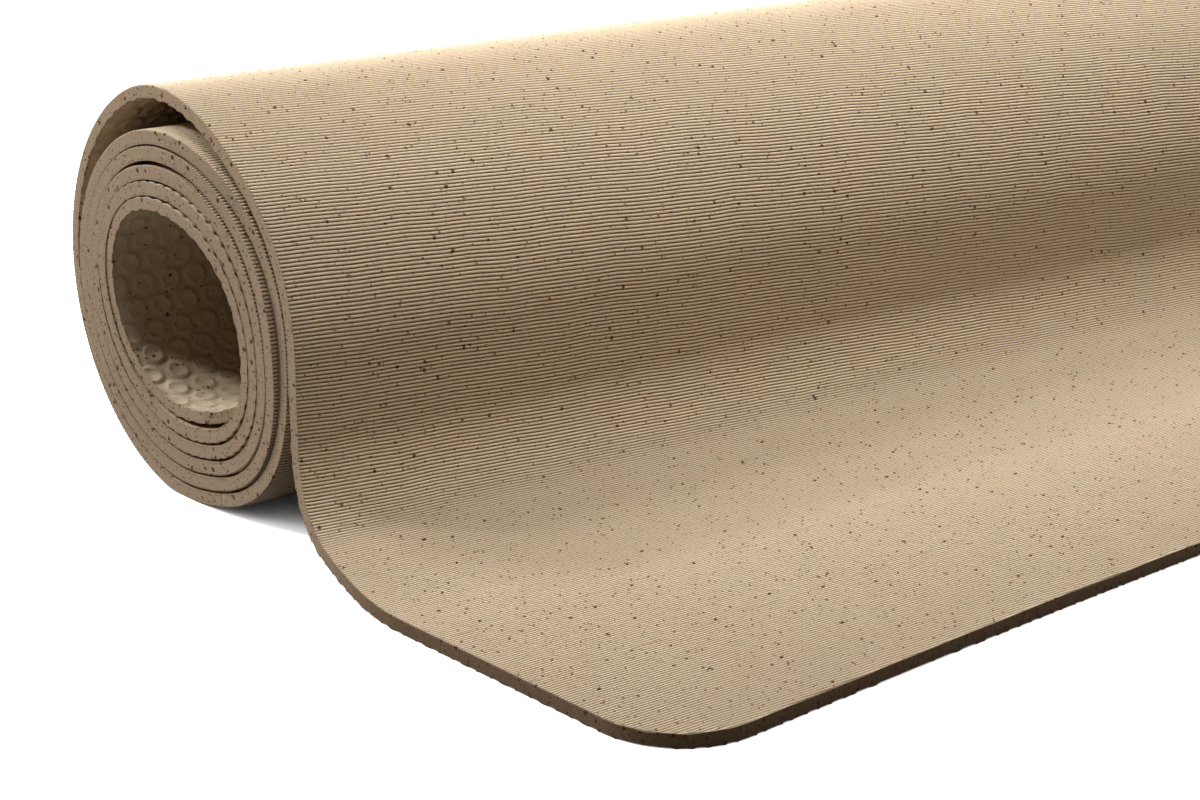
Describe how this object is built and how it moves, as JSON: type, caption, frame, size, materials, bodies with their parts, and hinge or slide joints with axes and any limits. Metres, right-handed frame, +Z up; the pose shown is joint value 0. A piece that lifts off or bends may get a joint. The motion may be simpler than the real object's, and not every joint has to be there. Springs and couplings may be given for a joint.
{
  "type": "exercise mat, partly unrolled",
  "caption": "Ribbed rubber exercise mat, mostly rolled up, with a loose outer turn that runs down to a flat flap on the floor.",
  "frame": {"origin": "centre of the whole shape's box, on the floor", "axes": "+X along the roll's axis, -Y towards the flap's front edge, +Z up"},
  "size_m": [0.6242, 0.2898, 0.1195],
  "materials": {
    "speckled_rubber": "matt beige foam rubber with dark brown cork specks, fine ribs on top and small raised rings below"
  },
  "bodies": {
    "roll": {"mat_roll": "speckled_rubber"},
    "flap_rear": {"flap_rear": "speckled_rubber"},
    "flap_middle": {"flap_middle": "speckled_rubber"},
    "flap_front": {"flap_front": "speckled_rubber"}
  },
  "joints": [
    {"name": "flap_lift", "type": "hinge", "parent": "roll", "child": "flap_rear", "pos_m": [0, -0.04141, 0.0041], "axis": [-1, 0, 0], "range_deg": [0, 60]},
    {"name": "flap_curl", "type": "hinge", "parent": "flap_rear", "child": "flap_middle", "pos_m": [0, -0.07591, 0.0041], "axis": [-1, 0, 0], "range_deg": [0, 50]},
    {"name": "tip_curl", "type": "hinge", "parent": "flap_middle", "child": "flap_front", "pos_m": [0, -0.11041, 0.0041], "axis": [-1, 0, 0], "range_deg": [0, 50]}
  ],
  "couplings": [
    {"joint": "tip_curl", "follows": "flap_curl", "ratio": 1}
  ]
}
